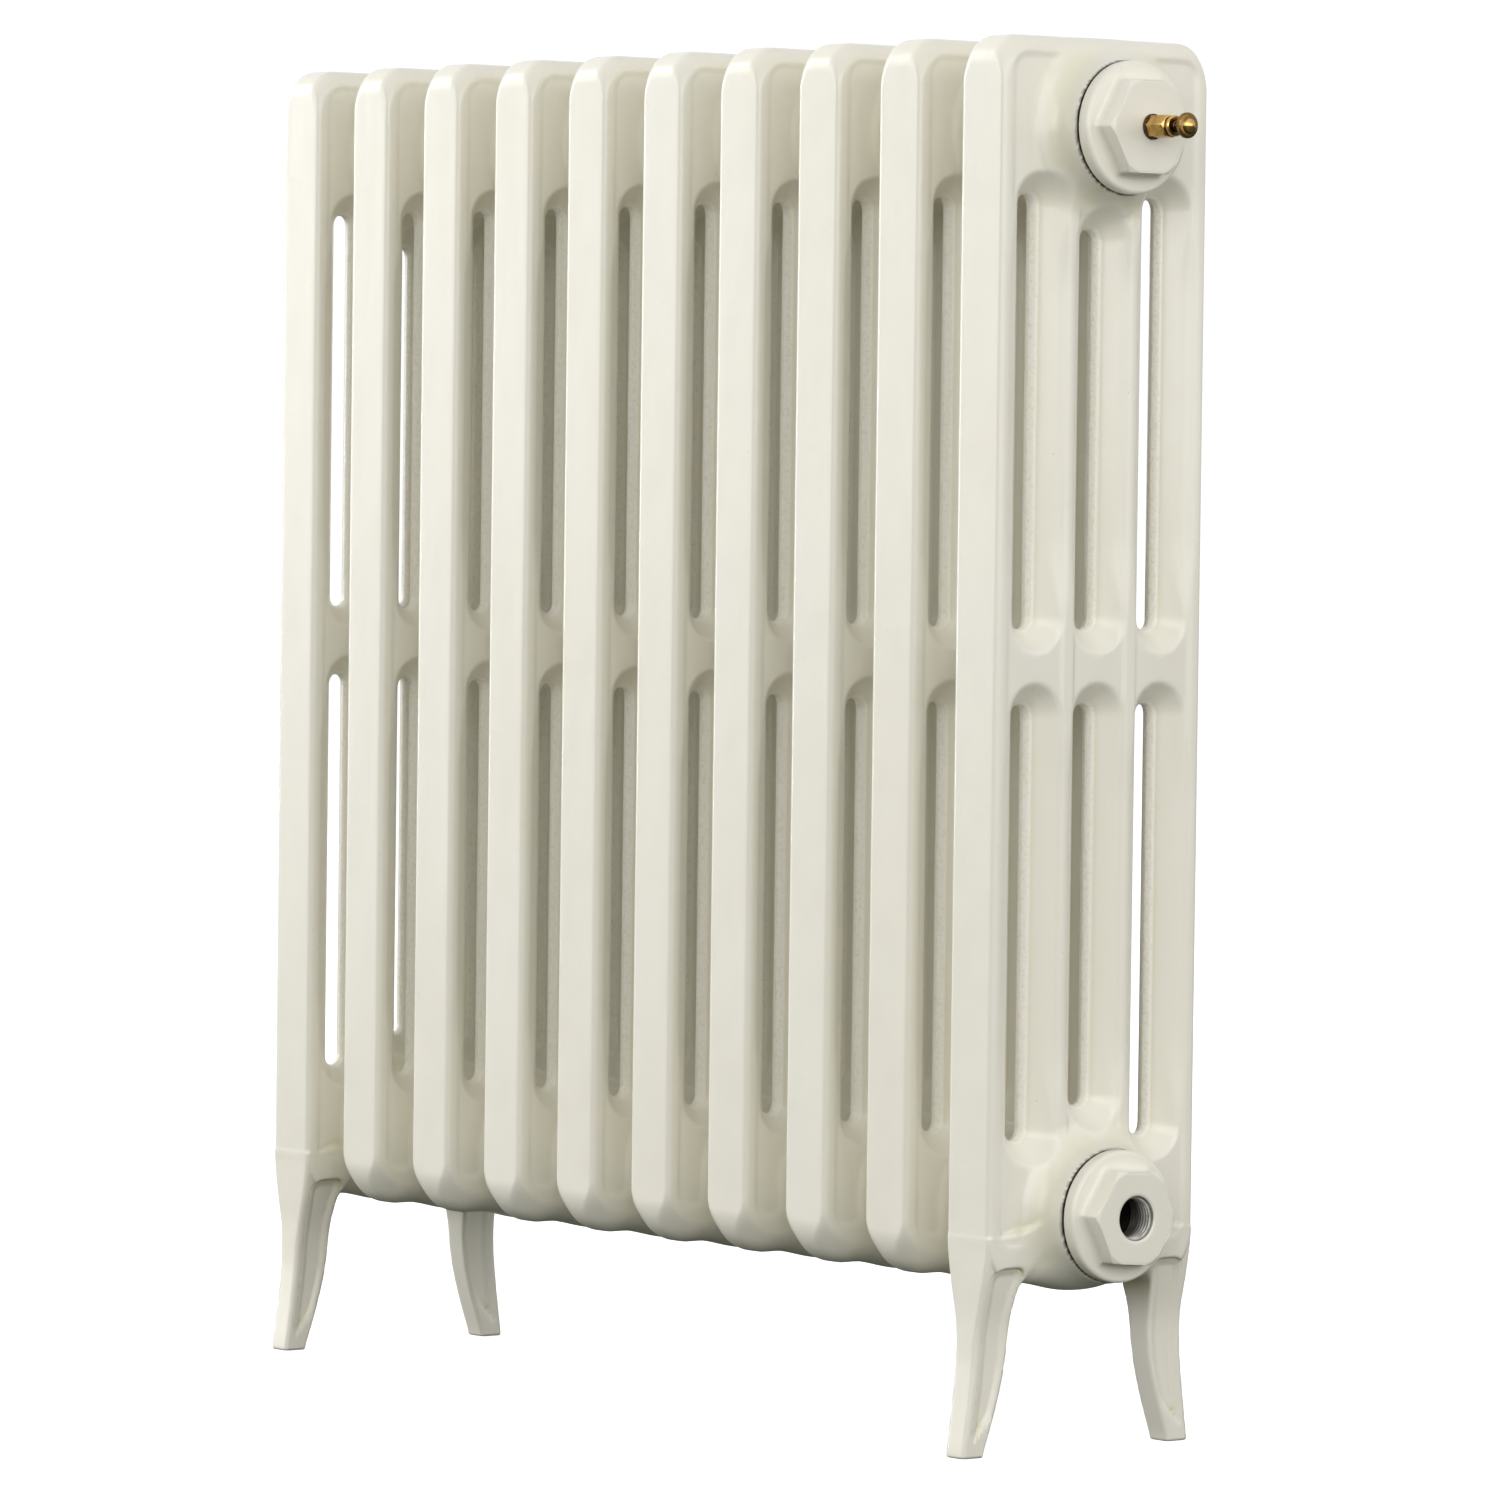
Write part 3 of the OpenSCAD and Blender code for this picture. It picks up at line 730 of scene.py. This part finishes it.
PLUG_TURN, RIGHT_TURN, LEFT_TURN, BARREL_TURN = (math.radians(a) for a in (11, 4, -7, 8))
for name, node, hub, turn, hole, right in (
        ("vent_bush_casting", "vent_bush", HUB_HIGH, 0.0, "vent", True),
        ("blank_plug_casting", "blank_plug", HUB_HIGH, PLUG_TURN, None, False),
        ("valve_bush_right_casting", "valve_bush_right", HUB_LOW, RIGHT_TURN, "valve", True),
        ("valve_bush_left_casting", "valve_bush_left", HUB_LOW, LEFT_TURN, "valve", False)):
    mesh = bush_mesh(name, turn, hole)
    finishes = [cream_bush, thread] if hole == "valve" else [cream_bush]
    placed(name, mesh, section_x[-1] if right else section_x[0], hub, "radiator", node,
           "enamelled_iron", *finishes, flip=not right)

# Air vent, in the frame of the near section
VENT_SEAT = HEX_FACE + 1.0
BARREL_END = VENT_SEAT + 12.0
COLLAR_X = BARREL_END + 1.5
VENT_END = COLLAR_X + 2.0
KNOB_X = VENT_END + 6.3
KNOB_FACE = KNOB_X + 2.5
BARREL_FLATS = 10.0
SHANK_R, NECK_R, NEEDLE_R, SEAT_R = 4.2, 4.0, 2.5, 1.2
SHANK_BACK = HEX_FACE - 9.0
NEEDLE_BACK = VENT_END - 11.0
around = 192
barrel = hexagon(around, BARREL_FLATS, BARREL_TURN, 0.12)
bevel = np.maximum(barrel - 4.9, 0) * 0.9
rings = [(SHANK_BACK, SEAT_R), (SHANK_BACK, 3.6), (SHANK_BACK + 0.6, SHANK_R), (VENT_SEAT, SHANK_R),
         (VENT_SEAT, barrel - 0.2), (VENT_SEAT + 0.2, barrel),
         (BARREL_END - bevel - 0.35, barrel), (BARREL_END - bevel - 0.1, barrel - 0.08),
         (BARREL_END - 0.12, np.minimum(barrel, 4.9) - 0.1), (BARREL_END, np.minimum(barrel, 4.9) - 0.3),
         (BARREL_END, NECK_R + 0.1), (BARREL_END + 0.1, NECK_R), (COLLAR_X - 0.1, NECK_R)]
rings += [(COLLAR_X, NECK_R + 0.1)] + corner(COLLAR_X + 0.35, 4.55, 0.35, 180, 90, 3)
rings += corner(VENT_END - 0.5, 4.4, 0.5, 90, 0, 3)
rings += [(VENT_END, 3.0), (VENT_END - 0.3, NEEDLE_R + 0.05), (NEEDLE_BACK, NEEDLE_R + 0.05),
          (NEEDLE_BACK, SEAT_R), (SHANK_BACK, SEAT_R)]
vent = tidy(lathe("vent_body_turned", rings, around), 28)
placed("vent_body_turned", vent, section_x[-1], HUB_HIGH, "radiator", "vent_body", "vent_brass", vent_brass)

tip = NEEDLE_BACK + 0.05
rings = [(tip, 0.0), (tip, SEAT_R), (tip + 2.0, NEEDLE_R)]
for i, x in enumerate(np.linspace(tip + 2.2, VENT_END - 0.5, 24)):
    rings.append((x, NEEDLE_R - 0.16 * (i % 2)))
rings += [(VENT_END, NEEDLE_R), (VENT_END + 0.4, NEEDLE_R), (VENT_END + 0.7, 2.1), (VENT_END + 1.7, 2.1),
          (VENT_END + 2.0, NEEDLE_R), (KNOB_X - 0.35, NEEDLE_R), (KNOB_X - 0.05, 2.2),
          (KNOB_X - 0.05, 2.0), (KNOB_X + 2.95, 2.0), (KNOB_X + 2.95, 0.0)]
needle = tidy(lathe("vent_needle_turned", rings, 96), 28)
placed("vent_needle_turned", needle, section_x[-1], HUB_HIGH, "vent_needle", "vent_needle",
       "vent_brass", vent_brass)

around = 240
turn_angle = np.arange(around) * 2 * math.pi / around
grip = 5.98 - 0.16 * (0.5 - 0.5 * np.cos(48 * turn_angle))
rings = [(KNOB_X, 2.05), (KNOB_X, 5.2), (KNOB_X + 0.12, 5.6)]
rings += [(x, grip) for x in (KNOB_X + 0.45, KNOB_X + 1.25, KNOB_FACE - 0.55)]
rings += [(KNOB_FACE - 0.15, 5.6), (KNOB_FACE, 5.25), (KNOB_FACE, 4.25), (KNOB_FACE + 0.05, 4.0)]
for share in np.linspace(0.1, 1, 12):
    lift = 1 - share
    rings.append((KNOB_FACE + 0.05 + 2.4 * share ** 0.9 * (0.72 + 0.28 * share), 4.0 * lift ** 0.62))
rings += [(KNOB_X + 3.0, 0.0), (KNOB_X + 3.0, 2.05), (KNOB_X, 2.05)]
knob = tidy(lathe("vent_knob_turned", rings, around), 30)
placed("vent_knob_turned", knob, section_x[-1], HUB_HIGH, "vent_knob", "vent_knob", "vent_brass", knob_brass)

for node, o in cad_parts.items():
    if "nipple" in node:
        finish_material, finish_slot = nipple_steel, "nipple_steel"
    elif node == "vent_washer":
        finish_material, finish_slot = seal_fibre, "seal_fibre"
    elif "gasket" in node:
        finish_material, finish_slot = gasket_fibre, "gasket_fibre"
    else:
        continue
    o.data.materials.clear()
    o.data.materials.append(finish_material)

# ---------------------------------------------------------------- floor, light and camera


def floor_material():
    """Plain pale floor: it looks white, and throws only a little light up under the radiator."""
    n = Nodes("pale_floor")
    soft = n.noise(n.place(), 3.0, 2.0)
    rays = n.add("ShaderNodeLightPath").outputs["Is Camera Ray"]
    pale = mix_rgb(n, soft, rgb(250, 250, 250), rgb(254, 254, 254))
    n.set(base_color=mix_rgb(n, rays, rgb(98, 100, 92), pale))
    n.shader.inputs["Roughness"].default_value = 0.8
    n.shader.inputs["Specular IOR Level"].default_value = 0.0
    n.shader.inputs["Emission Color"].default_value = (1.0, 1.0, 1.0, 1.0)
    n.link(n.math("MULTIPLY", rays, FLOOR_GLOW), n.shader.inputs["Emission Strength"])
    return n.material


FLOOR_R, FLOOR_SIDES = 40.0, 96
FLOOR_GLOW = 0.62          # keeps the floor white in view right out to its edge
ring = [(FLOOR_R * math.cos(a), FLOOR_R * math.sin(a), 0.0)
        for a in np.linspace(0, 2 * math.pi, FLOOR_SIDES + 1)[:-1]]
floor_mesh = bpy.data.meshes.new("floor")
floor_mesh.from_pydata(ring, [], [list(range(FLOOR_SIDES))])
floor_mesh.materials.append(floor_material())
floor = bpy.data.objects.new("floor", floor_mesh)
bpy.context.scene.collection.objects.link(floor)


def area_light(name, place, aim, size, power):
    data = bpy.data.lights.new(name, "AREA")
    data.shape = "RECTANGLE"
    data.size, data.size_y = size
    data.energy = power
    o = bpy.data.objects.new(name, data)
    bpy.context.scene.collection.objects.link(o)
    o.location = place
    o.rotation_mode = "QUATERNION"
    o.rotation_quaternion = (Vector(aim) - Vector(place)).to_track_quat("-Z", "Y")
    return o


BACKDROP, FILL = 1.05, 0.49    # strength of the white room as seen, and as a light

world = bpy.data.worlds.new("studio")
bpy.context.scene.world = world
world.use_nodes = True
background = world.node_tree.nodes["Background"]
background.inputs["Color"].default_value = (1.0, 1.0, 1.0, 1.0)
paths = world.node_tree.nodes.new("ShaderNodeLightPath")
dim = world.node_tree.nodes.new("ShaderNodeMapRange")
dim.inputs["To Min"].default_value = BACKDROP
dim.inputs["To Max"].default_value = FILL
world.node_tree.links.new(paths.outputs["Is Diffuse Ray"], dim.inputs["Value"])
world.node_tree.links.new(dim.outputs[0], background.inputs["Strength"])
AIM = (0.0, 0.0, 0.35)
area_light("front", (-1.7, -3.4, 1.3), AIM, (2.0, 2.0), 38)
area_light("camera_side", (2.87, -2.87, 1.43), AIM, (2.4, 2.0), 42)
area_light("right_end", (3.5, -0.6, 1.3), AIM, (2.0, 2.0), 28)
area_light("right_back", (3.3, 1.2, 1.1), AIM, (2.0, 2.0), 16)
area_light("left_end", (-5.8, -2.6, 1.8), AIM, (0.4, 4.8), 240)

scene = bpy.context.scene
scene.view_settings.view_transform = "Standard"

# The photograph is taken from the right front, a little above the middle of the row
near = Vector((section_x[-1] * MM, 0, 0))
CAMERA_PLACE = Vector((2.7954, -2.4457, 0.4539))    # from the foot of the near section
CAMERA_TURN, CAMERA_DIP, CAMERA_ROLL = 51.178, 1.97, 0.707
camera_data = bpy.data.cameras.new("camera")
camera_data.sensor_width = 36.0
camera_data.lens = 190.4
camera_data.clip_end = 200.0
camera = bpy.data.objects.new("camera", camera_data)
scene.collection.objects.link(camera)
camera.matrix_world = (Matrix.Translation(near + CAMERA_PLACE)
                       @ Matrix.Rotation(math.radians(CAMERA_TURN), 4, "Z")
                       @ Matrix.Rotation(math.radians(90 - CAMERA_DIP), 4, "X")
                       @ Matrix.Rotation(math.radians(CAMERA_ROLL), 4, "Z"))
scene.camera = camera
